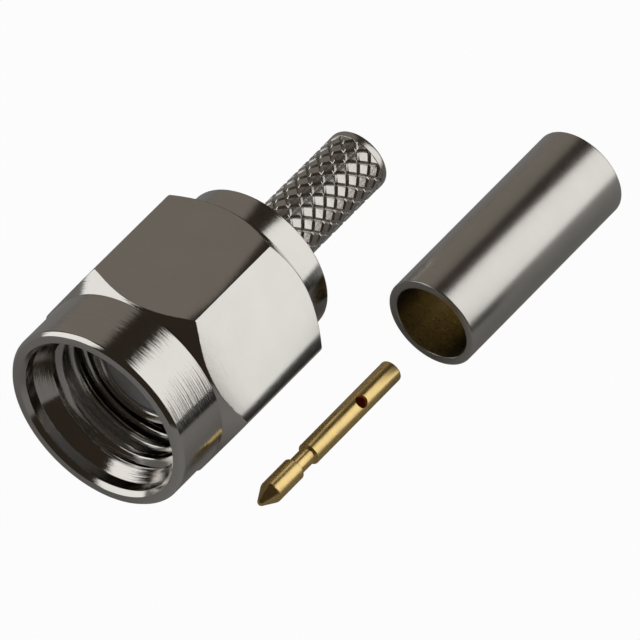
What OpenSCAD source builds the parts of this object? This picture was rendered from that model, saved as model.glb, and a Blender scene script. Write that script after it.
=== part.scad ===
// SMA plug of the crimp type, as it is supplied: the coupling nut turns on the
// connector body, and the contact pin and crimp ferrule lie loose beside them.
//
// Frame: the connector's axis is Y and its mating face looks toward -Y. The
// origin is on the axis, at the front end of the outer conductor sleeve, which
// is the reference plane of the interface. The parts lie on a level surface
// half a wrench size below the axis. All sizes are in millimetres.

/* [Coupling nut] */
// Wrench size, across the flats
nut_flats = 8; // [7.9:0.02:8.1]
// Length of the nut
nut_len = 8.4; // [8.2:0.1:8.8]
// Diameter of the plain front band
nut_band_d = 7.84; // [7.6:0.02:7.88]
// Length of the plain front band
nut_band_len = 2.45; // [2.2:0.05:2.8]
// How far the nut reaches ahead of the reference plane
nut_overhang = 2.8; // [2.6:0.05:3]
// Diameter of the smooth lead-in ahead of the thread
lead_in_d = 6.36; // [6.36:0.02:6.5]
// Depth of the lead-in, from the nut's front face
lead_in_depth = 1.35; // [1.2:0.05:1.6]
// Minor diameter of the 1/4-36 thread
thread_minor_d = 5.6; // [5.6:0.02:5.7]

/* [Connector body] */
// Outside diameter of the outer conductor sleeve
sleeve_d = 4.59; // [4.56:0.01:4.6]
// Bore of the sleeve, which holds the insulator
sleeve_bore_d = 3.72; // [3.4:0.02:4]
// Length of the sleeve, ahead of the shoulder
sleeve_len = 2.75; // [2.6:0.05:3]
// Diameter of the shoulder that the nut turns on
shoulder_d = 5.48; // [5.44:0.01:5.56]
// Diameter of the collar behind the nut
collar_d = 6.4; // [6.2:0.05:6.6]
// Length of the collar
collar_len = 1.62; // [1.4:0.02:1.8]
// Diameter of the crimp stem, over the knurl
stem_d = 2.58; // [2.5:0.02:2.7]
// Bore of the crimp stem, for the cable's core
cable_bore_d = 1.6; // [1.4:0.05:1.7]

/* [Knurl] */
// Number of grooves of each hand
knurl_starts = 12; // [10:1:14]
// Distance along the axis from one groove crossing to the next
knurl_pitch = 0.7; // [0.6:0.02:0.8]
// Half pitches in the knurled length
knurl_half_rows = 17; // [13:1:18]
// Depth of the grooves
knurl_depth = 0.1; // [0.06:0.01:0.14]
// Half the width of a groove, as a share of one diamond
groove_share = 0.17; // [0.1:0.01:0.24]
// Angle of the first groove crossing round the axis
knurl_angle = 12; // [0:1:30]

/* [Retaining ring and gasket] */
// Width of the spring ring between nut and body
ring_width = 0.5; // [0.4:0.05:0.5]
// Opening of the ring's split, in degrees
ring_split = 40; // [20:5:60]
// Thickness of the gasket on the sleeve
gasket_len = 0.8; // [0.6:0.05:1]
// Outside diameter of the gasket
gasket_d = 5.4; // [5.2:0.05:5.4]

/* [Insulator] */
// How far the insulator's face lies behind the reference plane
insulator_recess = 0.16; // [0:0.02:0.3]
// Bore for the contact pin
insulator_bore_d = 0.94; // [0.93:0.01:1]

/* [Contact pin] */
// Diameter of the mating tip and of the barrel
pin_d = 0.914; // [0.9:0.002:0.93]
// Length of the pin
pin_len = 8.32; // [8:0.02:8.6]
// Length of the mating tip, with its taper
pin_tip_len = 2.2; // [2:0.05:2.4]
// Length of the taper
pin_taper_len = 0.72; // [0.6:0.02:0.9]
// Diameter of the neck
neck_d = 0.69; // [0.64:0.01:0.74]
// Length of the neck
neck_len = 0.87; // [0.7:0.01:1]
// Bore for the cable's inner conductor
wire_bore_d = 0.56; // [0.52:0.01:0.6]
// Depth of that bore
wire_bore_depth = 2.9; // [2.7:0.05:3.2]
// Diameter of the inspection hole into that bore
sight_hole_d = 0.5; // [0.4:0.02:0.52]
// Distance of the inspection hole from the rear end
sight_hole_back = 2.2; // [2:0.05:2.4]
// Angle of the inspection hole round the pin
sight_hole_angle = 57; // [40:1:80]

/* [Crimp ferrule] */
// Outside diameter
ferrule_d = 3.84; // [3.7:0.02:4]
// Bore
ferrule_bore_d = 3.16; // [3.1:0.02:3.2]
// Length
ferrule_len = 9.56; // [9:0.02:10]

/* [Where the loose pieces lie] */
// Sideways distance of the pin from the connector's axis
pin_x = 5.345; // [5.3:0.005:6]
// Place of the pin's tip along the axis
pin_y = -0.07; // [-0.5:0.01:0.5]
// Sideways distance of the ferrule from the connector's axis
ferrule_x = 5.951; // [5.95:0.001:7]
// Place of the ferrule's front end along the axis
ferrule_y = 9.93; // [9.5:0.01:11]

/* [Hidden] */
$fn = 96;

floor_z = -nut_flats / 2;
nut_front = -nut_overhang;
nut_rear = nut_front + nut_len;
nut_corner_r = nut_flats / sqrt(3);

// chamfers of the nut
nut_edge = 0.12;
nut_edge_len = 0.16;
nut_rear_r = 3.95;
mouth_r = lead_in_d / 2 + 0.31;
mouth_lip_r = lead_in_d / 2 + 0.14;
mouth_lip_len = 0.1;
mouth_len = 0.42;

// ring groove, half in the body and half in the nut
groove_y = sleeve_len + 0.75;
groove_width = 0.55;
groove_bottom_r = 2.3;
nut_groove_r = 3.1;
nut_groove_play = 0.08;
ring_outer_r = 2.98;

collar_y = nut_rear + 0.05;
collar_rear = collar_y + collar_len;
stem_r = stem_d / 2;
stem_neck = 0.1;
knurl_y = collar_rear + stem_neck;
knurl_end = knurl_y + knurl_half_rows * knurl_pitch / 2;
stem_band = 0.38;
stem_band_r = stem_r + 0.01;
stem_end = knurl_end + stem_band;
stem_round = 0.16;
insulator_rear = collar_y + 0.8;
overlap = 0.02;

// A lathe profile of [radius, place along the axis], turned round the Y axis.
module turned(profile) {
    rotate([-90, 0, 0])
        rotate_extrude()
            polygon(profile);
}

// A plain hole of radius r from y0 to y1 on the Y axis.
module bore(r, y0, y1) {
    translate([0, y0, 0])
        rotate([-90, 0, 0])
            cylinder(r = r, h = y1 - y0);
}

// Points of a convex edge round of radius e, from the side (radius r) to the end
// face at y, in the given number of steps. dir is 1 at a rear end, -1 at a front.
function edge_round(r, y, e, dir, steps = 4) =
    [for (i = [0:steps]) let (a = 90 * i / steps)
        [r - e + e * cos(a), y - dir * e + dir * e * sin(a)]];

function reversed(list) = [for (i = [len(list) - 1:-1:0]) list[i]];

// ---- Coupling nut -------------------------------------------------------

module nut_blank() {
    corner = nut_corner_r + 0.1;
    front_cone = nut_band_d / 2;
    turned([
        [0, nut_front],
        [front_cone - nut_edge, nut_front],
        [front_cone, nut_front + nut_edge_len],
        [front_cone, nut_front + nut_band_len],
        [corner, nut_front + nut_band_len + (corner - front_cone)],
        [corner, nut_rear - (corner - nut_rear_r)],
        [nut_rear_r, nut_rear],
        [0, nut_rear]
    ]);
}

module nut_hexagon() {
    translate([0, nut_front + nut_band_len, 0])
        rotate([-90, 0, 0])
            cylinder(r = nut_corner_r, h = nut_len - nut_band_len, $fn = 6);
}

module nut_bore() {
    minor = thread_minor_d / 2;
    lead = lead_in_d / 2;
    lead_end = nut_front + lead_in_depth;
    groove_front = groove_y - nut_groove_play;
    groove_rear = groove_y + groove_width + nut_groove_play;
    turned([
        [0, nut_front - 1],
        [mouth_r, nut_front - 1],
        [mouth_r, nut_front],
        [mouth_lip_r, nut_front + mouth_lip_len],
        [lead, nut_front + mouth_len],
        [lead, lead_end],
        [minor, lead_end + (lead - minor)],
        [minor, groove_front],
        [nut_groove_r, groove_front],
        [nut_groove_r, groove_rear],
        [minor, groove_rear],
        [minor, nut_rear + 1],
        [0, nut_rear + 1]
    ]);
}

module coupling_nut() {
    color("silver")
        difference() {
            intersection() {
                nut_blank();
                union() {
                    bore(nut_band_d / 2, nut_front - 1, nut_front + nut_band_len + overlap);
                    nut_hexagon();
                }
            }
            nut_bore();
        }
}

// ---- Connector body -----------------------------------------------------

module body_turning() {
    sleeve_r = sleeve_d / 2;
    shoulder_r = shoulder_d / 2;
    collar_r = collar_d / 2;
    edge = 0.06;
    turned(concat(
        [[0, 0], [sleeve_r - edge, 0], [sleeve_r, edge], [sleeve_r, sleeve_len],
         [shoulder_r, sleeve_len], [shoulder_r, groove_y], [groove_bottom_r, groove_y],
         [groove_bottom_r, groove_y + groove_width], [shoulder_r, groove_y + groove_width],
         [shoulder_r, collar_y], [collar_r - edge, collar_y], [collar_r, collar_y + edge]],
        edge_round(collar_r, collar_rear, edge, 1),
        [[0, collar_rear]]
    ));
}

module stem_end_band() {
    turned(concat(
        [[0, knurl_end + overlap], [stem_band_r, knurl_end + overlap]],
        edge_round(stem_band_r, stem_end, stem_round, 1),
        [[0, stem_end]]
    ));
}

// One point of the knurl: s counts half pitches along the stem, turn counts
// groove spacings round it.
function knurl_point(s, turn, r) =
    let (a = knurl_angle + turn * 360 / knurl_starts)
    [r * cos(a), knurl_y + s * knurl_pitch / 2, r * sin(a)];

// The six points that belong to groove crossing i of ring k. Points 0 to 3 are on
// the ring: the crossing, then the left corner, centre and right corner of the
// diamond beside it. Point 4 is the near corner of the diamond that opens from
// the crossing, and point 5 the far corner of the diamond beside it.
function knurl_ring(k, i) =
    let (g = groove_share, t = i + k / 2)
    [knurl_point(k, t, stem_r - knurl_depth),
     knurl_point(k, t + g, stem_r),
     knurl_point(k, t + 0.5, stem_r),
     knurl_point(k, t + 1 - g, stem_r)];

function knurl_inner(k, i) =
    let (g = groove_share, t = i + k / 2)
    [knurl_point(k + 2 * g, t, stem_r),
     knurl_point(k + 1 - 2 * g, t + 0.5, stem_r)];

// Number of point n of crossing i of ring k in the knurl's list of points. The
// last ring has only the four points that lie on it.
function knurl_index(k, i, n) =
    let (last = k == knurl_half_rows, j = (i + knurl_starts) % knurl_starts)
    k * knurl_starts * 6 + j * (last ? 4 : 6) + n;

// The half diamond that opens from crossing i of ring k up to the next ring.
function opening_half(k, i) =
    let (start = knurl_index(k, i, 0), near = knurl_index(k, i, 4),
         right = knurl_index(k + 1, i, 0),
         q = [for (n = [0:3]) knurl_index(k + 1, i - 1, n)])
    [[start, right, q[3]], [start, q[3], near],
     [start, near, q[1]], [start, q[1], q[0]],
     [near, q[3], q[2]], [near, q[2], q[1]]];

// The half diamond that closes from ring k to crossing i of the next ring.
function closing_half(k, i) =
    let (q = [for (n = [0:3]) knurl_index(k, i, n)], far = knurl_index(k, i, 5),
         right = knurl_index(k, i + 1, 0), top = knurl_index(k + 1, i, 0))
    [[q[0], q[1], far], [q[0], far, top],
     [right, top, far], [right, far, q[3]],
     [q[1], q[2], far], [q[2], q[3], far]];

// The quadrilaterals between two closed rings that have as many points each.
function rim_sides(front, rear) =
    [for (j = [0:len(front) - 1]) let (n = (j + 1) % len(front))
        [front[j], front[n], rear[n], rear[j]]];

// The diamond knurl: raised diamonds between two sets of opposed helical grooves.
// Its first and last rings run on straight, into the collar and the end band.
module knurl() {
    rows = knurl_half_rows;
    around = [0:knurl_starts - 1];
    rim = 4 * knurl_starts;
    first_ring = [for (i = around, p = knurl_ring(0, i)) p];
    last_ring = [for (i = around, p = knurl_ring(rows, i)) p];
    points = concat(
        [for (k = [0:rows - 1], i = around, p = concat(knurl_ring(k, i), knurl_inner(k, i))) p],
        last_ring,
        [for (p = first_ring) p - [0, knurl_y - collar_rear + overlap, 0]],
        [for (p = last_ring) p + [0, 2 * overlap, 0]]
    );
    front_rim = [for (i = around, n = [0:3]) knurl_index(0, i, n)];
    rear_rim = [for (i = around, n = [0:3]) knurl_index(rows, i, n)];
    front_end = [for (j = [0:rim - 1]) knurl_index(rows, 0, 0) + rim + j];
    rear_end = [for (j = front_end) j + rim];
    sides = [for (k = [0:rows - 1], i = around)
        each concat(opening_half(k, i), closing_half(k, i))];
    polyhedron(points, concat(
        rim_sides(front_end, front_rim), sides, rim_sides(rear_rim, rear_end),
        [reversed(front_end), rear_end]
    ), convexity = 4);
}

module connector_body() {
    color("silver")
        difference() {
            union() {
                body_turning();
                knurl();
                stem_end_band();
            }
            bore(sleeve_bore_d / 2, -1, insulator_rear);
            bore(cable_bore_d / 2, insulator_rear - 1, stem_end + 1);
        }
}

// ---- Pieces inside the nut ----------------------------------------------

module retaining_ring() {
    color("peru")
        rotate([-90, 0, 0])
            translate([0, 0, groove_y + groove_width - ring_width])
                rotate([0, 0, -90 + ring_split / 2])
                    rotate_extrude(angle = 360 - ring_split)
                        translate([groove_bottom_r, 0])
                            square([ring_outer_r - groove_bottom_r, ring_width]);
}

module gasket() {
    color("orangered")
        difference() {
            bore(gasket_d / 2, sleeve_len - gasket_len, sleeve_len);
            bore(sleeve_d / 2, sleeve_len - gasket_len - 1, sleeve_len + 1);
        }
}

module insulator() {
    color("white")
        difference() {
            bore(sleeve_bore_d / 2, insulator_recess, insulator_rear);
            bore(insulator_bore_d / 2, -1, insulator_rear + 1);
        }
}

// ---- Loose pieces -------------------------------------------------------

module pin_turning() {
    r = pin_d / 2;
    nose = 0.16;
    edge = 0.05;
    neck_front = pin_tip_len;
    neck_rear = pin_tip_len + neck_len;
    turned(concat(
        [[0, 0], [nose * sin(30), nose * (1 - cos(30))], [nose * sin(60), nose * (1 - cos(60))],
         [r, pin_taper_len], [r, neck_front - edge], [r - edge, neck_front],
         [neck_d / 2, neck_front], [neck_d / 2, neck_rear],
         [r - edge, neck_rear], [r, neck_rear + edge]],
        edge_round(r, pin_len, edge, 1, 3),
        [[0, pin_len]]
    ));
}

module contact_pin() {
    color("gold")
        translate([pin_x, pin_y, floor_z + pin_d / 2])
            difference() {
                pin_turning();
                bore(wire_bore_d / 2, pin_len - wire_bore_depth, pin_len + 1);
                translate([0, pin_len - sight_hole_back, 0])
                    rotate([0, 90 - sight_hole_angle, 0])
                        cylinder(d = sight_hole_d, h = pin_d);
            }
}

module crimp_ferrule() {
    outer = ferrule_d / 2;
    inner = ferrule_bore_d / 2;
    edge = 0.12;
    color("silver")
        translate([ferrule_x, ferrule_y, floor_z + outer])
            turned(concat(
                [[inner, edge / 2], [inner + edge / 2, 0]],
                reversed(edge_round(outer, 0, edge, -1)),
                edge_round(outer, ferrule_len, edge, 1),
                [[inner + edge / 2, ferrule_len], [inner, ferrule_len - edge / 2]]
            ));
}

coupling_nut();
connector_body();
retaining_ring();
gasket();
insulator();
contact_pin();
crimp_ferrule();
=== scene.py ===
"""Looks for the coaxial crimp plug: nickel-plated nut, body and ferrule, and a gold contact pin.

Everything is in metres in the row frame. Profiles are written in millimetres and scaled once,
in mesh_object(). The connector's axis is Y and the surface it lies on is 4 mm below it.
"""

import math

import bmesh
import bpy
from mathutils import Matrix, Vector

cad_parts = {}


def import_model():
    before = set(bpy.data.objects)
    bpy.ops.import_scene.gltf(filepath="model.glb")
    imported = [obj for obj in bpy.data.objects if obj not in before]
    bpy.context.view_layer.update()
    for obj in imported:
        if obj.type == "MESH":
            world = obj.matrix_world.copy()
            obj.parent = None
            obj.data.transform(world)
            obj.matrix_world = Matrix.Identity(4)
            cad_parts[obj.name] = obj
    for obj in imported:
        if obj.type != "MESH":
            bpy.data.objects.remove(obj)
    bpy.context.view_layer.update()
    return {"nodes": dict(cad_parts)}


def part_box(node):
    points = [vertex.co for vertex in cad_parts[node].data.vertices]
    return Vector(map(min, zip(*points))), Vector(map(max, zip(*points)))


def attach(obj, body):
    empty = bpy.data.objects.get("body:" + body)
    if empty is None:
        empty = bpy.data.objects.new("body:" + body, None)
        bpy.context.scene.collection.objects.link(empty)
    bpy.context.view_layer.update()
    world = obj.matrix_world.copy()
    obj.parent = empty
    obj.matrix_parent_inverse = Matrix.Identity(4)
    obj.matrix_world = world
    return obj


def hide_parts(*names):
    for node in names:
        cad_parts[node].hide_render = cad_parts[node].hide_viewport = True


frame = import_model()
MM = 0.001


def cad_mm(node):
    """A CAD node's lowest and highest corner in millimetres."""
    low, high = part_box(node)
    return Vector(low) / MM, Vector(high) / MM


def axis_of(low, high):
    """The x and z of the axis of a round node that lies along Y."""
    return (high.x + low.x) / 2, (high.z + low.z) / 2


NUT_LOW, NUT_HIGH = cad_mm("coupling_nut")
STEM_END = cad_mm("connector_body")[1].y
PIN_LOW, PIN_HIGH = cad_mm("contact_pin")
FERRULE_LOW, FERRULE_HIGH = cad_mm("crimp_ferrule")
FLOOR_Z = NUT_LOW.z
ON_AXIS = (0.0, 0.0)
PIN_AXIS = axis_of(PIN_LOW, PIN_HIGH)
FERRULE_AXIS = axis_of(FERRULE_LOW, FERRULE_HIGH)


# ---- Node helpers -----------------------------------------------------------

class Nodes:
    """Short calls for building one material's nodes."""

    def __init__(self, name):
        self.material = bpy.data.materials.new(name)
        self.material.use_nodes = True
        self.tree = self.material.node_tree
        self.tree.nodes.clear()

    def add(self, kind, inputs=None, **attributes):
        node = self.tree.nodes.new(kind)
        for name, value in attributes.items():
            setattr(node, name, value)
        for name, value in (inputs or {}).items():
            self.set(node, name, value)
        return node

    def set(self, node, name, value):
        socket = node.inputs[name]
        if isinstance(value, bpy.types.NodeSocket):
            self.tree.links.new(value, socket)
        else:
            socket.default_value = value

    def math(self, operation, a, b=0.0, clamp=False):
        node = self.add("ShaderNodeMath", operation=operation, use_clamp=clamp)
        self.set(node, 0, a)
        self.set(node, 1, b)
        return node.outputs[0]

    def length(self, a, b):
        """The length of the vector (a, b)."""
        return self.math("SQRT", self.math("ADD", self.math("MULTIPLY", a, a),
                                           self.math("MULTIPLY", b, b)))

    def span(self, value, low, high, to_low=0.0, to_high=1.0):
        """Maps value from low..high to to_low..to_high, in a straight line with clamped ends."""
        node = self.add("ShaderNodeMapRange")
        for i, v in enumerate((value, low, high, to_low, to_high)):
            self.set(node, i, v)
        return node.outputs[0]

    def mix(self, factor, a, b):
        node = self.add("ShaderNodeMix", data_type="RGBA")
        self.set(node, 0, factor)
        for i, v in ((6, a), (7, b)):
            self.set(node, i, v)
        return node.outputs[2]

    def noise(self, vector, scale, detail=2.0, roughness=0.5):
        node = self.add("ShaderNodeTexNoise", {"Vector": vector, "Scale": scale, "Detail": detail,
                                               "Roughness": roughness})
        return node.outputs["Fac"]

    def millimetres(self):
        """The point on the surface, in millimetres in the row frame."""
        coord = self.add("ShaderNodeTexCoord").outputs["Object"]
        node = self.add("ShaderNodeVectorMath", operation="SCALE")
        self.set(node, 0, coord)
        node.inputs["Scale"].default_value = 1 / MM
        return node.outputs[0]

    def lathe_vector(self, point, centre, along=1.0, around=0.0):
        """A vector that changes along a turned piece and hardly round it, for turning marks."""
        parts = self.add("ShaderNodeSeparateXYZ", {"Vector": point}).outputs
        x = self.math("SUBTRACT", parts[0], centre[0])
        z = self.math("SUBTRACT", parts[2], centre[1])
        lathe_y = self.math("MULTIPLY", parts[1], along)
        lathe_r = self.math("MULTIPLY", self.length(x, z), along)
        swing = self.math("MULTIPLY", self.math("ARCTAN2", z, x), around)
        return self.add("ShaderNodeCombineXYZ", {0: lathe_r, 1: lathe_y, 2: swing}).outputs[0]

    def bump(self, height, strength, distance_mm, normal=None):
        inputs = {"Height": height, "Strength": strength, "Distance": distance_mm * MM}
        if normal is not None:
            inputs["Normal"] = normal
        return self.add("ShaderNodeBump", inputs).outputs[0]

    def surface(self, inputs):
        shader = self.add("ShaderNodeBsdfPrincipled", inputs)
        out = self.add("ShaderNodeOutputMaterial")
        self.tree.links.new(shader.outputs[0], out.inputs["Surface"])
        return self.material


def rgb(r, g, b):
    return (r, g, b, 1.0)


# ---- Materials --------------------------------------------------------------

def turned_share(n, point):
    """1 on the nut's turned faces and 0 on its milled flats."""
    parts = n.add("ShaderNodeSeparateXYZ", {"Vector": point}).outputs
    radius = n.length(parts[0], parts[2])
    behind_chamfer = n.math("SUBTRACT", n.math("ADD", parts[1], BAND_R - BAND_END), radius)
    flat = n.math("MULTIPLY", n.span(behind_chamfer, 0.02, 0.06),
                  n.span(radius, HALF_FLATS - 0.045, HALF_FLATS - 0.015))
    return n.math("SUBTRACT", 1.0, flat)


def nickel(name, centre, lines, lines_mm, peel, peel_mm, rough, uneven=0.25, flats=False,
           satin_from=None):
    """Nickel plate: turning lines round the axis, a faint orange peel, and uneven gloss.

    lines and peel are strengths, lines_mm and peel_mm are sizes. rough varies by the share
    uneven. flats takes the lines off the nut's milled flats. Behind y satin_from the gloss drops.
    """
    satin_share, satin_over_mm = 1.9, 0.05
    line_relief, peel_relief = lines_mm * 0.16, peel_mm * 0.22
    n = Nodes(name)
    point = n.millimetres()
    if flats:
        turned = turned_share(n, point)
        lines = n.math("MULTIPLY", turned, lines)
    fine = n.noise(n.lathe_vector(point, centre, 1 / lines_mm, 0.35), 1.0, 3.0, 0.6)
    broad = n.noise(n.lathe_vector(point, centre, 2.2, 0.8), 1.0, 2.0)
    cloud = n.noise(point, 0.7, 3.0)
    grain = n.noise(point, 1 / peel_mm, 2.0, 0.6)
    colour = n.mix(cloud, rgb(0.66, 0.635, 0.595), rgb(0.73, 0.71, 0.675))
    colour = n.mix(n.span(fine, 0.62, 0.8, 0.0, 0.35), colour, rgb(0.52, 0.49, 0.45))
    gloss = n.math("ADD", n.math("MULTIPLY", broad, 0.6), n.math("MULTIPLY", cloud, 0.4))
    if flats:
        # The flats' gloss stays closer to its mean.
        share = n.span(turned, 0.0, 1.0, 0.3, 1.0)
        gloss = n.math("ADD", 0.5, n.math("MULTIPLY", n.math("SUBTRACT", gloss, 0.5), share))
    roughness = n.span(gloss, 0.3, 0.7, rough * (1 - uneven), rough * (1 + uneven))
    if satin_from is not None:
        y = n.add("ShaderNodeSeparateXYZ", {"Vector": point}).outputs[1]
        satin = n.span(y, satin_from, satin_from + satin_over_mm, 1.0, satin_share)
        roughness = n.math("MULTIPLY", roughness, satin)
    normal = n.bump(fine, lines, line_relief)
    normal = n.bump(grain, peel, peel_relief, normal)
    return n.surface({"Base Color": colour, "Metallic": 1.0, "Roughness": roughness,
                      "Normal": normal})


def gold(name, centre):
    """Bright gold plate on a finely turned pin."""
    rough = 0.30
    n = Nodes(name)
    point = n.millimetres()
    fine = n.noise(n.lathe_vector(point, centre, 7.0, 0.4), 1.0, 2.0, 0.5)
    cloud = n.noise(point, 1.6, 3.0)
    colour = n.mix(cloud, rgb(0.96, 0.69, 0.26), rgb(1.0, 0.77, 0.36))
    colour = n.mix(n.span(fine, 0.6, 0.8, 0.0, 0.2), colour, rgb(0.82, 0.52, 0.17))
    roughness = n.span(cloud, 0.3, 0.7, rough * 0.85, rough * 1.2)
    return n.surface({"Base Color": colour, "Metallic": 1.0, "Roughness": roughness,
                      "Normal": n.bump(fine, 0.06, 0.006)})


def ferrule_bore_painted_shade(name):
    """The inside of the crimp ferrule in an olive-grey tint, a little darker than the outside:
    painted shade standing in for the warm shade inside the tube.
    """
    n = Nodes(name)
    point = n.millimetres()
    grain = n.noise(point, 11.0, 2.0, 0.6)
    cloud = n.noise(point, 0.8, 3.0)
    # Painted shade: this olive tint stands for the warm shade inside the tube.
    colour = n.mix(cloud, rgb(0.70, 0.62, 0.42), rgb(0.80, 0.72, 0.52))
    roughness = n.span(grain, 0.3, 0.7, 0.26, 0.34)
    return n.surface({"Base Color": colour, "Metallic": 1.0, "Roughness": roughness,
                      "Normal": n.bump(grain, 0.12, 0.012)})


def gold_cup_painted_reflection(name):
    """The dull gold inside the pin's solder cup, deepened to orange and made nearly non-metallic:
    painted reflection of the light bounced between its gold walls.
    """
    n = Nodes(name)
    point = n.millimetres()
    cloud = n.noise(point, 5.0, 3.0, 0.6)
    # Painted reflection: the deep orange and low metallic stand for light bounced round the gold
    # cup.
    colour = n.mix(cloud, rgb(0.98, 0.46, 0.05), rgb(1.0, 0.58, 0.10))
    roughness = n.span(cloud, 0.3, 0.7, 0.42, 0.55)
    return n.surface({"Base Color": colour, "Metallic": 0.1, "Roughness": roughness,
                      "Normal": n.bump(cloud, 0.2, 0.01)})


def bronze(name):
    """Phosphor bronze strip, rolled."""
    n = Nodes(name)
    point = n.millimetres()
    rolled = n.noise(n.lathe_vector(point, ON_AXIS, 20.0, 1.0), 1.0, 3.0, 0.6)
    colour = n.mix(rolled, rgb(0.55, 0.32, 0.18), rgb(0.74, 0.47, 0.29))
    roughness = n.span(rolled, 0.3, 0.7, 0.22, 0.4)
    return n.surface({"Base Color": colour, "Metallic": 1.0, "Roughness": roughness,
                      "Normal": n.bump(rolled, 0.4, 0.006)})


def ptfe(name):
    """White PTFE: waxy and faintly translucent, with facing marks on its end."""
    n = Nodes(name)
    point = n.millimetres()
    facing = n.noise(n.lathe_vector(point, ON_AXIS, 14.0, 0.6), 1.0, 3.0, 0.6)
    cloud = n.noise(point, 1.1, 3.0)
    colour = n.mix(cloud, rgb(0.80, 0.83, 0.88), rgb(0.90, 0.92, 0.95))
    colour = n.mix(n.span(facing, 0.6, 0.75, 0.0, 0.3), colour, rgb(0.70, 0.73, 0.80))
    roughness = n.span(facing, 0.3, 0.7, 0.42, 0.58)
    return n.surface({"Base Color": colour, "Roughness": roughness, "IOR": 1.36,
                      "Subsurface Weight": 0.25, "Subsurface Scale": 0.0004,
                      "Normal": n.bump(facing, 0.35, 0.01)})


def silicone(name):
    """Red silicone rubber gasket."""
    n = Nodes(name)
    point = n.millimetres()
    speck = n.noise(point, 9.0, 3.0, 0.6)
    colour = n.mix(speck, rgb(0.46, 0.075, 0.03), rgb(0.62, 0.13, 0.055))
    roughness = n.span(speck, 0.3, 0.7, 0.5, 0.65)
    return n.surface({"Base Color": colour, "Roughness": roughness, "IOR": 1.41,
                      "Normal": n.bump(speck, 0.3, 0.01)})


# ---- Mesh helpers -----------------------------------------------------------

# The angle in degrees from which an edge is shaded hard.
CREASE = 32.0


def mesh_object(name, vertices, faces, material, crease=CREASE):
    """A piece from points in millimetres, smooth shaded but for edges sharper than crease."""
    same_point, no_length = 2e-8, 1e-9
    mesh = bpy.data.meshes.new(name)
    mesh.from_pydata([tuple(c * MM for c in v) for v in vertices], [], faces)
    b = bmesh.new()
    b.from_mesh(mesh)
    bmesh.ops.remove_doubles(b, verts=b.verts, dist=same_point)
    bmesh.ops.dissolve_degenerate(b, dist=no_length, edges=b.edges)
    bmesh.ops.recalc_face_normals(b, faces=b.faces)
    mark_creases(b, crease)
    b.to_mesh(mesh)
    b.free()
    mesh.materials.append(material)
    obj = bpy.data.objects.new(name, mesh)
    bpy.context.scene.collection.objects.link(obj)
    return obj


def mark_creases(b, crease):
    """Shades the faces smooth, with a hard edge wherever two meet by more than crease degrees."""
    for face in b.faces:
        face.smooth = True
    for edge in b.edges:
        edge.smooth = len(edge.link_faces) == 2 and edge.calc_face_angle() < math.radians(crease)


def soften(profile, radius, steps=4, closed=True):
    """Rounds a profile's corners. A point is (r, y) or (r, y, its own radius)."""
    nearly_straight, share_of_side = math.radians(88), 0.48
    out, count = [], len(profile)
    for i, point in enumerate(profile):
        here = Vector(point[:2])
        size = point[2] if len(point) > 2 else radius
        if size <= 0 or (not closed and i in (0, count - 1)):
            out.append(tuple(here))
            continue
        before = Vector(profile[i - 1][:2]) - here
        after = Vector(profile[(i + 1) % count][:2]) - here
        half = before.angle(after) / 2
        if half > nearly_straight:
            out.append(tuple(here))
            continue
        cut = min(size / math.tan(half), before.length * share_of_side,
                  after.length * share_of_side)
        start, end = here + before.normalized() * cut, here + after.normalized() * cut
        for k in range(steps + 1):
            t = k / steps
            out.append(tuple(start * (1 - t) ** 2 + here * 2 * t * (1 - t) + end * t ** 2))
    return out


def lathe(profile, segments, centre=(0.0, 0.0), closed=True):
    """Vertices and faces of a profile of (r, y) turned round an axis along Y through centre."""
    vertices, faces, count = [], [], len(profile)
    for s in range(segments):
        a = 2 * math.pi * s / segments
        c, d = math.cos(a), math.sin(a)
        vertices += [(centre[0] + r * c, y, centre[1] + r * d) for r, y in profile]
    for s in range(segments):
        here, there = s * count, (s + 1) % segments * count
        for i in range(count if closed else count - 1):
            j = (i + 1) % count
            faces.append((here + i, here + j, there + j, there + i))
    return vertices, faces


def join(*parts):
    """Several (vertices, faces) as one."""
    vertices, faces = [], []
    for v, f in parts:
        base = len(vertices)
        vertices += list(v)
        faces += [tuple(base + i for i in face) for face in f]
    return vertices, faces


def drill(obj, origin, direction, radius, depth):
    """Takes a round hole, given in millimetres, out of obj."""
    profile = [(0.0, 0.0), (radius, 0.0), (radius, depth), (0.0, depth)]
    vertices, faces = lathe(profile, 64, closed=False)
    tool = mesh_object(obj.name + "_drill", vertices, faces, obj.data.materials[0])
    turn = Vector((0, 1, 0)).rotation_difference(Vector(direction)).to_matrix().to_4x4()
    tool.data.transform(Matrix.Translation(Vector(origin) * MM) @ turn)
    cut = obj.modifiers.new("drill", "BOOLEAN")
    cut.object, cut.operation, cut.solver = tool, "DIFFERENCE", "EXACT"
    graph = bpy.context.evaluated_depsgraph_get()
    mesh = bpy.data.meshes.new_from_object(obj.evaluated_get(graph))
    obj.modifiers.clear()
    obj.data = mesh
    bpy.data.objects.remove(tool)
    b = bmesh.new()
    b.from_mesh(mesh)
    mark_creases(b, CREASE)
    b.to_mesh(mesh)
    b.free()


def line_with(piece, material, axis, radius, from_y=-math.inf):
    """Gives the faces nearer the axis than radius, and behind from_y, a second material."""
    piece.data.materials.append(material)
    for face in piece.data.polygons:
        middle = face.center / MM
        if math.hypot(middle.x - axis[0], middle.z - axis[1]) < radius and middle.y > from_y:
            face.material_index = 1


def finish_piece(obj, node, body="connector"):
    """Hides the piece's CAD node and gives the piece its body."""
    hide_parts(node)
    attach(obj, body)
    return obj


# ---- Coupling nut -----------------------------------------------------------

NUT_FRONT, NUT_REAR = NUT_LOW.y, NUT_HIGH.y
HALF_FLATS = -FLOOR_Z
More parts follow.
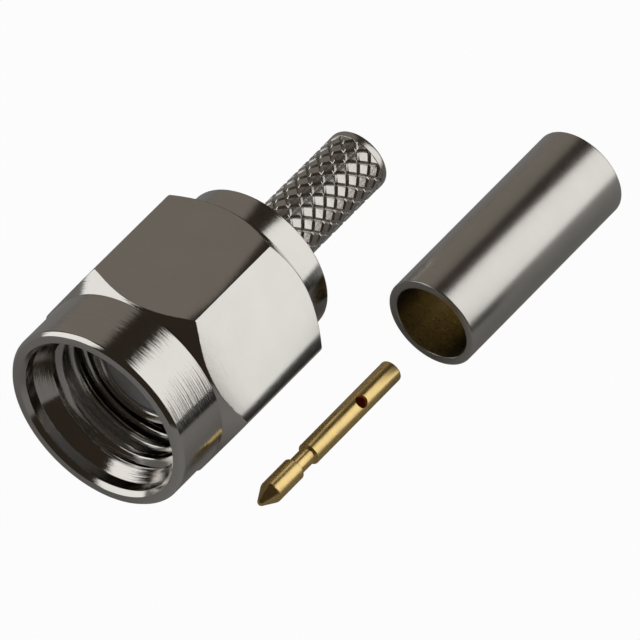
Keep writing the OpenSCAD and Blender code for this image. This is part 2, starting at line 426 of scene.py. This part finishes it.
# The angle that one side of the hexagon takes up, and half of it.
SIDE, HALF_SIDE = math.pi / 3, math.pi / 6
BAND_R, BAND_END = 3.92, NUT_FRONT + 2.45
REAR_R = 3.95
REAR_EDGE = 0.06
# The corners are rounded, and the flats roll off a little toward them.
CORNER_ROUND = 0.08
ROLL_FROM, ROLL_OFF = math.radians(23.0), 0.030
# The mouth: a chamfer, a counterbore, and a cone of about 31 degrees down to the thread.
MOUTH_EDGE_R, MOUTH_R, MOUTH_CHAMFER = 3.49, 3.34, 0.19
CONE_FROM, CONE_SLOPE = NUT_FRONT + 0.62, 0.596
# The groove for the retaining ring.
GROOVE_R, GROOVE_FRONT, GROOVE_REAR = 3.1, 3.42, 4.13
# The 1/4-36 thread, which fades out over its last stretch.
MINOR_R, PITCH, THREAD_DEPTH = 2.8, 25.4 / 36, 0.372
THREAD_FROM, THREAD_TO, THREAD_FADE = NUT_FRONT + 0.89, 2.75, 0.5
# From the middle of a crest to the side of a groove: (share of the pitch, share of the depth).
THREAD_FLANK = ((0.11, 0.0), (0.14, 0.01), (0.165, 0.05), (0.20, 0.15), (0.27, 0.37),
                (0.34, 0.60), (0.40, 0.81), (0.437, 0.93), (0.47, 0.99))
# The nut's columns, and how strongly they crowd at its corners.
COLUMNS, CROWDING = 432, 0.118


def hexagon_radius(angle):
    """Distance from the axis to the hexagon's outline, its corners rolled off and rounded."""
    a = abs((angle + math.pi / 2 + HALF_SIDE) % SIDE - HALF_SIDE)
    rolled = max(0.0, (a - ROLL_FROM) / (HALF_SIDE - ROLL_FROM))
    return sharp_hexagon_radius(a) - ROLL_OFF * rolled ** 2


def sharp_hexagon_radius(a):
    """The same without the roll-off, a being the angle from a flat's middle."""
    round_centre = (HALF_FLATS - CORNER_ROUND) / math.cos(HALF_SIDE)
    tangent = math.atan2(round_centre * math.sin(HALF_SIDE),
                         round_centre * math.cos(HALF_SIDE) + CORNER_ROUND)
    if a < tangent:
        return HALF_FLATS / math.cos(a)
    off = HALF_SIDE - a
    return round_centre * math.cos(off) + math.sqrt(
        max(CORNER_ROUND ** 2 - (round_centre * math.sin(off)) ** 2, 0.0))


def nut_columns():
    """Angles of the nut's columns, closer together at the hexagon's corners."""
    each = COLUMNS // 6
    angles = []
    for side in range(6):
        start = -math.pi / 2 + HALF_SIDE + side * SIDE
        for i in range(each):
            t = i / each
            angles.append(start + SIDE * (t - CROWDING * math.sin(2 * math.pi * t)))
    return angles


def nut_outline(angle):
    """The outside of the nut at one angle, from its front bore edge to its rear bore edge."""
    flat = hexagon_radius(angle)
    front_rise = max(flat - BAND_R, 0.0)
    rear_rise = max(flat - REAR_R, 0.0)
    chamfer_in, chamfer_back = 0.12, 0.16
    return soften([
        (MOUTH_EDGE_R, NUT_FRONT, 0.02),
        (BAND_R - chamfer_in, NUT_FRONT, 0.05),
        (BAND_R, NUT_FRONT + chamfer_back, 0.10),
        (BAND_R, BAND_END, 0.03),
        (flat, BAND_END + front_rise, 0.05),
        (flat, NUT_REAR - rear_rise, 0.05),
        (REAR_R, NUT_REAR, 0.04),
        (MINOR_R + REAR_EDGE, NUT_REAR, 0.0),
    ], 0.04, steps=4, closed=False)


def bore_radius(y):
    """Radius of the nut's plain bore at y, between the mouth and the ring groove."""
    return min(MOUTH_R, max(MINOR_R, MOUTH_R - CONE_SLOPE * (y - CONE_FROM)))


def thread_form():
    """The internal thread's form over one pitch, from one groove's bottom to the next."""
    return ([(-0.5, 1.0)] + [(-t, h) for t, h in reversed(THREAD_FLANK)] + [(0.0, 0.0)]
            + list(THREAD_FLANK))


def thread_surface(angles):
    """The nut's threaded bore: a right-hand helical strip, clamped to plain rings at its ends."""
    form = thread_form()
    turns = int(math.ceil((THREAD_TO - THREAD_FROM) / PITCH)) + 2
    start = THREAD_FROM - PITCH
    count, rows = len(angles), turns * len(form)
    vertices, faces = [], []
    for s in range(count + 1):
        a = angles[s % count]
        swing = 1.0 if s == count else (a - angles[0]) / (2 * math.pi)
        for turn in range(turns):
            for t, h in form:
                y = start + (turn + t + 1.0 - swing) * PITCH
                y = min(max(y, THREAD_FROM), THREAD_TO)
                fade = min(1.0, max(0.0, (THREAD_TO - y) / THREAD_FADE))
                r = max(bore_radius(y), MINOR_R + THREAD_DEPTH * h * fade)
                vertices.append((r * math.cos(a), y, r * math.sin(a)))
    for s in range(count):
        for i in range(rows - 1):
            here, there = s * rows + i, (s + 1) * rows + i
            faces.append((here, here + 1, there + 1, there))
    return vertices, faces


def nut_rings(angles, profile_at):
    """A surface through one open profile per column, each with the same number of points."""
    profiles = [profile_at(a) for a in angles]
    size = len(profiles[0])
    vertices, faces = [], []
    for a, profile in zip(angles, profiles):
        vertices += [(r * math.cos(a), y, r * math.sin(a)) for r, y in profile]
    for s in range(len(angles)):
        here, there = s * size, (s + 1) % len(angles) * size
        for i in range(size - 1):
            faces.append((here + i, there + i, there + i + 1, here + i + 1))
    return vertices, faces


def coupling_nut(material):
    """The nut: outside, mouth, thread, and the plain bore with the ring's groove."""
    angles = nut_columns()
    mouth = soften([
        (MOUTH_EDGE_R, NUT_FRONT), (MOUTH_R, NUT_FRONT + MOUTH_CHAMFER), (MOUTH_R, CONE_FROM),
        (bore_radius(THREAD_FROM), THREAD_FROM)], 0.03, closed=False)
    rear = soften([
        (MINOR_R, THREAD_TO), (MINOR_R, GROOVE_FRONT), (GROOVE_R, GROOVE_FRONT),
        (GROOVE_R, GROOVE_REAR), (MINOR_R, GROOVE_REAR),
        (MINOR_R, NUT_REAR - REAR_EDGE), (MINOR_R + REAR_EDGE, NUT_REAR)], 0.02, closed=False)
    parts = join(
        nut_rings(angles, nut_outline), nut_rings(angles, lambda a: mouth),
        thread_surface(angles), nut_rings(angles, lambda a: rear))
    nut = mesh_object("nut_threaded", *parts, material, crease=40.0)
    return finish_piece(nut, "coupling_nut", "nut")


# ---- Connector body ---------------------------------------------------------

SLEEVE_R, SLEEVE_BORE_R, SLEEVE_END = 2.295, 1.86, 2.75
NECK_R, RING_GROOVE_R, RING_GROOVE = 2.74, 2.30, (3.5, 4.05)
COLLAR_R, COLLAR_FRONT, COLLAR_REAR = 3.20, 5.65, 7.27
INSULATOR_FRONT, INSULATOR_REAR = 0.16, 6.45
KNURL_START, KNURL_ROWS, KNURL_STEP, KNURL_STARTS = 7.37, 17, 0.35, 12
STEM_R = 1.29
KNURL_END = KNURL_START + KNURL_ROWS * KNURL_STEP
KNURL_ANGLE = 12.0
# A groove's half width in phase, its depth, and the lift of its rounded bottom.
GROOVE_HALF, GROOVE_DEPTH, BOTTOM_LIFT = 0.13, 0.075, 0.012
# The raised lip beside a groove: its height, then its place, width and end in half widths.
LIP_HEIGHT, LIP_AT, LIP_WIDTH, LIP_END = 0.006, 1.12, 0.22, 1.6
# The slight hollow in each diamond: depth, reach in phase, and the height above which it is cut.
HOLLOW_DEPTH, HOLLOW_REACH, HOLLOW_ABOVE = 0.012, 0.33, -0.01


def knurl_height(a, b):
    """Height over the stem's radius where groove families a and b are at these phases."""
    near_a, near_b = abs(a - round(a)), abs(b - round(b))
    height = 0.0
    for near in (near_a, near_b):
        t = min(near / GROOVE_HALF, LIP_END)
        side = -GROOVE_DEPTH * (1 - t) if t < 1 else 0.0
        if side < 0:
            height = min(height, max(side, BOTTOM_LIFT - GROOVE_DEPTH))
        elif height >= 0:
            height += LIP_HEIGHT * math.exp(-((t - LIP_AT) / LIP_WIDTH) ** 2)
    middle = max(0.0, 1 - max(abs(near_a - 0.5), abs(near_b - 0.5)) / HOLLOW_REACH)
    return height - HOLLOW_DEPTH * middle * middle if height > HOLLOW_ABOVE else height


def knurl_surface(per_cell=12):
    """The knurled length: quads that follow both sets of grooves, flattened at its two ends."""
    vertices, faces, index = [], [], {}

    def vertex(i, j):
        """The index of grid point (i, j), made at its first use."""
        key = (i, j)
        if key not in index:
            a, b = i / per_cell, j / per_cell
            turn, s = (a + b) / 2, b - a
            s = min(max(s, 0.0), KNURL_ROWS)
            r = STEM_R + knurl_height(turn - s / 2, turn + s / 2)
            angle = math.radians(KNURL_ANGLE + turn * 360 / KNURL_STARTS)
            index[key] = len(vertices)
            vertices.append((r * math.cos(angle), KNURL_START + s * KNURL_STEP,
                             r * math.sin(angle)))
        return index[key]

    span = KNURL_ROWS * per_cell
    around = 2 * KNURL_STARTS * per_cell
    for i in range(-span, (KNURL_STARTS + KNURL_ROWS) * per_cell):
        for j in range(i - 1, i + span + 1):
            if 0 <= i + j + 1 < around:
                faces.append((vertex(i, j), vertex(i + 1, j),
                              vertex(i + 1, j + 1), vertex(i, j + 1)))
    return vertices, faces


def connector_body(material):
    """Sleeve, neck with the ring's groove, collar and stem, with a core inside the knurl."""
    cable_bore, core_r, edge = 0.80, 1.17, 0.05
    tunnel_r, tunnel_inset, knurl_overlap = 0.95, 0.3, 0.01
    band_r = STEM_R + 0.01
    groove_from, groove_to = RING_GROOVE
    profile = soften([
        (SLEEVE_BORE_R + edge, 0.0), (SLEEVE_R - 0.06, 0.0, 0.03), (SLEEVE_R, 0.06, 0.05),
        (SLEEVE_R, SLEEVE_END), (NECK_R, SLEEVE_END), (NECK_R, groove_from),
        (RING_GROOVE_R, groove_from), (RING_GROOVE_R, groove_to), (NECK_R, groove_to),
        (NECK_R, COLLAR_FRONT), (COLLAR_R - 0.06, COLLAR_FRONT, 0.02),
        (COLLAR_R, COLLAR_FRONT + 0.06, 0.04), (COLLAR_R, COLLAR_REAR, 0.07),
        (core_r, COLLAR_REAR, 0.03), (core_r, KNURL_START + tunnel_inset, 0.0),
        (tunnel_r, KNURL_START + tunnel_inset, 0.0), (tunnel_r, KNURL_END - tunnel_inset, 0.0),
        (core_r, KNURL_END - tunnel_inset, 0.0), (core_r, KNURL_END - knurl_overlap, 0.0),
        (band_r, KNURL_END - knurl_overlap, 0.03), (band_r, STEM_END, 0.24),
        (cable_bore + 0.06, STEM_END, 0.02), (cable_bore, STEM_END - edge, 0.02),
        (cable_bore, INSULATOR_REAR), (SLEEVE_BORE_R, INSULATOR_REAR),
        (SLEEVE_BORE_R, edge, 0.02)], 0.03, steps=5)
    parts = join(lathe(profile, 256), knurl_surface())
    body = mesh_object("body_knurled", *parts, material, crease=38.0)
    return finish_piece(body, "connector_body")


# ---- Pieces inside the nut --------------------------------------------------

def insulator(material):
    """The white bead in the sleeve, with its bore for the pin."""
    bore, outer = 0.47, SLEEVE_BORE_R - 0.01
    profile = soften([(bore, INSULATOR_FRONT, 0.02), (outer, INSULATOR_FRONT, 0.06),
                      (outer, INSULATOR_REAR), (bore, INSULATOR_REAR)], 0.03)
    piece = mesh_object("insulator_ptfe", *lathe(profile, 192), material)
    return finish_piece(piece, "insulator")


def gasket(material):
    """The red ring on the sleeve, a little inside its solid."""
    inner, outer, front, rear = 2.30, 2.68, 1.97, 2.74
    profile = soften([(inner, front), (outer, front, 0.12), (outer, rear, 0.05),
                      (inner, rear)], 0.04)
    piece = mesh_object("gasket_ring", *lathe(profile, 192), material)
    return finish_piece(piece, "gasket")


# ---- Loose pieces -----------------------------------------------------------

def contact_pin(material, inside):
    """The gold pin: pointed tip, neck, and a barrel with the wire's bore and inspection hole."""
    r, tip, end = (PIN_HIGH.x - PIN_LOW.x) / 2, PIN_LOW.y, PIN_HIGH.y
    nose_r, taper_end, neck_from, neck_to = 0.16, tip + 0.72, tip + 2.2, tip + 3.07
    neck_r, wire_r, wire_depth = 0.345, 0.28, 2.9
    sight_r, sight_y, sight = 0.25, end - 2.2, math.radians(57)
    nose = [(nose_r * math.sin(a), tip + nose_r * (1 - math.cos(a)), 0.0)
            for a in map(math.radians, range(0, 61, 12))]
    profile = soften(nose + [
        (r, taper_end, 0.25), (r, neck_from - 0.03, 0.03), (r - 0.03, neck_from, 0.02),
        (neck_r, neck_from, 0.03), (neck_r, neck_to, 0.03), (r - 0.04, neck_to, 0.02),
        (r, neck_to + 0.04, 0.03), (r, end, 0.06), (wire_r + 0.02, end, 0.02),
        (wire_r, end - 0.04, 0.02), (wire_r, end - wire_depth, 0.03),
        (0.0, end - wire_depth - 0.12, 0.0)], 0.02, steps=5, closed=False)
    piece = mesh_object("contact_pin_gold", *lathe(profile, 128, PIN_AXIS, closed=False), material)
    drill(piece, (PIN_AXIS[0], sight_y, PIN_AXIS[1]), (math.cos(sight), 0, math.sin(sight)),
          sight_r, r + 0.2)
    # The wire bore takes the cup material, whose deep orange is painted reflection.
    line_with(piece, inside, PIN_AXIS, (wire_r + r) / 2, end - wire_depth - 0.2)
    return finish_piece(piece, "contact_pin")


def crimp_ferrule(material, inside):
    """The plain tube, its edges slightly rounded."""
    outer = (FERRULE_HIGH.x - FERRULE_LOW.x) / 2
    front, rear = FERRULE_LOW.y, FERRULE_HIGH.y
    inner, edge = 1.58, 0.07
    profile = soften([
        (inner, front + edge / 2, 0.03), (inner + edge / 2, front, 0.03), (outer, front, edge),
        (outer, rear, edge), (inner + edge / 2, rear, 0.03), (inner, rear - edge / 2, 0.03)],
        0.03, steps=6)
    piece = mesh_object("ferrule_tube", *lathe(profile, 256, FERRULE_AXIS), material)
    # The bore's faces take the second material, whose olive tint is painted shade.
    line_with(piece, inside, FERRULE_AXIS, inner + 0.005)
    return finish_piece(piece, "crimp_ferrule")


# ---- Camera, floor and light ------------------------------------------------

def photo_camera():
    """The viewpoint of the photograph, with a long lens from half a metre away."""
    azimuth, elevation, roll = (math.radians(v) for v in (36.27, 46.19, -0.5435))
    distance = 0.54794
    target = Vector((1.416, 9.175, FLOOR_Z)) * MM
    back = Vector((math.sin(azimuth) * math.cos(elevation),
                   -math.cos(azimuth) * math.cos(elevation), math.sin(elevation)))
    right = Vector((math.cos(azimuth), math.sin(azimuth), 0.0))
    up = back.cross(right)
    turned_right = right * math.cos(roll) + up * math.sin(roll)
    turned_up = up * math.cos(roll) - right * math.sin(roll)
    data = bpy.data.cameras.new("camera")
    data.lens, data.sensor_width = 829.4, 36.0
    data.clip_start, data.clip_end = 0.01, 20.0
    camera = bpy.data.objects.new("camera", data)
    axes = Matrix((turned_right, turned_up, back)).transposed().to_4x4()
    camera.matrix_world = Matrix.Translation(target + back * distance) @ axes
    bpy.context.scene.collection.objects.link(camera)
    bpy.context.scene.camera = camera


def floor():
    """A pale floor that the camera sees as white, with the object's shadow kept.

    It ends close to the right, so that metal mirrors the lower end of the key light past it.
    """
    size, right_edge, gap = 3.0, 0.056, 2e-6
    seen_share, mirrored_share = 0.97, 0.03
    mesh = bpy.data.meshes.new("floor")
    z = FLOOR_Z * MM - gap
    mesh.from_pydata([(-size, -size, z), (right_edge, -size, z), (right_edge, size, z),
                      (-size, size, z)], [], [(0, 1, 2, 3)])
    n = Nodes("floor_pale")
    cloud = n.noise(n.millimetres(), 0.02, 2.0)
    diffuse = n.add("ShaderNodeBsdfDiffuse", {"Color": n.mix(cloud, rgb(0.62, 0.62, 0.62),
                                                             rgb(0.66, 0.66, 0.66))})
    path = n.add("ShaderNodeLightPath").outputs
    white = n.add("ShaderNodeEmission", {"Color": rgb(1, 1, 1), "Strength": 1.0})
    seen = n.math("MULTIPLY", path["Is Camera Ray"], seen_share)
    bounced = n.math("ADD", path["Is Glossy Ray"], path["Is Transmission Ray"])
    mirrored = n.math("MULTIPLY", bounced, mirrored_share)
    shader = n.add("ShaderNodeMixShader", {0: n.math("ADD", seen, mirrored, clamp=True)})
    n.tree.links.new(diffuse.outputs[0], shader.inputs[1])
    n.tree.links.new(white.outputs[0], shader.inputs[2])
    out = n.add("ShaderNodeOutputMaterial")
    n.tree.links.new(shader.outputs[0], out.inputs["Surface"])
    mesh.materials.append(n.material)
    obj = bpy.data.objects.new("floor", mesh)
    bpy.context.scene.collection.objects.link(obj)


def spherical(azimuth, elevation):
    """Unit vector; azimuth 0 is +X and 90 is +Y."""
    a, e = math.radians(azimuth), math.radians(elevation)
    return Vector((math.cos(a) * math.cos(e), math.sin(a) * math.cos(e), math.sin(e)))


def softbox(name, azimuth, elevation, distance, width, height, radiance, tint=(1, 1, 1)):
    """A soft panel, in metres, that faces the object. Radiance 1 is white in a mirror."""
    centre = Vector((2.0, 7.0, 0.0)) * MM
    data = bpy.data.lights.new(name, "AREA")
    data.shape, data.size, data.size_y = "RECTANGLE", width, height
    data.energy = radiance * math.pi * width * height
    data.color = tint
    lamp = bpy.data.objects.new(name, data)
    direction = spherical(azimuth, elevation)
    lamp.matrix_world = (Matrix.Translation(centre + direction * distance)
                         @ direction.to_track_quat("Z", "Y").to_matrix().to_4x4())
    lamp.visible_camera = False
    bpy.context.scene.collection.objects.link(lamp)


def dark_card():
    """A black card on the floor to the right, seen only by the metal, as product studios use.

    It runs from near to far along its azimuth from start, and from right to left across it.
    """
    azimuth, off_floor = 34.5, 0.02
    near, far, left, right = 16.0, 60.0, 4.6, -9.0
    along = spherical(azimuth, 0.0)
    across = Vector((-along.y, along.x, 0.0))
    start = Vector((2.4, 2.3, FLOOR_Z + off_floor))
    corners = [start + along * a + across * b for a, b in
               ((near, right), (far, right), (far, left), (near, left))]
    mesh = bpy.data.meshes.new("dark_card")
    mesh.from_pydata([tuple(c * MM) for c in corners], [], [(0, 1, 2, 3)])
    n = Nodes("card_black")
    weave = n.noise(n.millimetres(), 0.4, 2.0)
    colour = n.mix(weave, rgb(0.010, 0.010, 0.010), rgb(0.020, 0.019, 0.018))
    mesh.materials.append(n.surface({"Base Color": colour, "Roughness": 0.95}))
    obj = bpy.data.objects.new("dark_card", mesh)
    obj.visible_camera = obj.visible_shadow = obj.visible_diffuse = False
    bpy.context.scene.collection.objects.link(obj)


def world():
    """White behind the object for the camera, and a nearly black room for everything else."""
    sky = bpy.data.worlds.new("room")
    bpy.context.scene.world = sky
    sky.use_nodes = True
    tree = sky.node_tree
    tree.nodes.clear()
    new, link = tree.nodes.new, tree.links.new
    path = new("ShaderNodeLightPath")
    room = new("ShaderNodeBackground")
    room.inputs["Color"].default_value = rgb(0.030, 0.023, 0.017)
    white = new("ShaderNodeBackground")
    white.inputs["Color"].default_value = rgb(1, 1, 1)
    mix = new("ShaderNodeMixShader")
    out = new("ShaderNodeOutputWorld")
    link(path.outputs["Is Camera Ray"], mix.inputs[0])
    link(room.outputs[0], mix.inputs[1])
    link(white.outputs[0], mix.inputs[2])
    link(mix.outputs[0], out.inputs["Surface"])


def lights():
    """A close panel on the right, a large one on the left, a dim warm one behind, and the card."""
    softbox("key", azimuth=46.0, elevation=26.0, distance=0.16, width=0.125, height=0.216,
            radiance=1.02)
    softbox("left", azimuth=207.0, elevation=26.0, distance=0.60, width=0.46, height=0.74,
            radiance=1.05)
    softbox("back", azimuth=140.0, elevation=24.0, distance=0.60, width=0.33, height=0.76,
            radiance=0.165, tint=(1.0, 0.93, 0.84))
    dark_card()


# ---- Scene ------------------------------------------------------------------

bpy.context.scene.view_settings.view_transform = "Standard"
photo_camera()
floor()
world()
lights()

coupling_nut(nickel("nickel_nut", ON_AXIS, lines=0.55, lines_mm=0.075, peel=0.09, peel_mm=0.045,
                    rough=0.10, flats=True))
connector_body(nickel("nickel_body", ON_AXIS, lines=0.4, lines_mm=0.06, peel=0.05, peel_mm=0.05,
                      rough=0.14, satin_from=COLLAR_REAR + 0.04))
crimp_ferrule(nickel("nickel_ferrule", FERRULE_AXIS, lines=0.02, lines_mm=0.06, peel=0.12,
                     peel_mm=0.06, rough=0.26, uneven=0.06),
              ferrule_bore_painted_shade("ferrule_bore_painted_shade"))
contact_pin(gold("gold_pin", PIN_AXIS), gold_cup_painted_reflection("gold_cup_painted_reflection"))
insulator(ptfe("ptfe_white"))
gasket(silicone("silicone_red"))
ring = frame["nodes"]["retaining_ring"]
ring.data.materials.clear()
ring.data.materials.append(bronze("bronze_strip"))
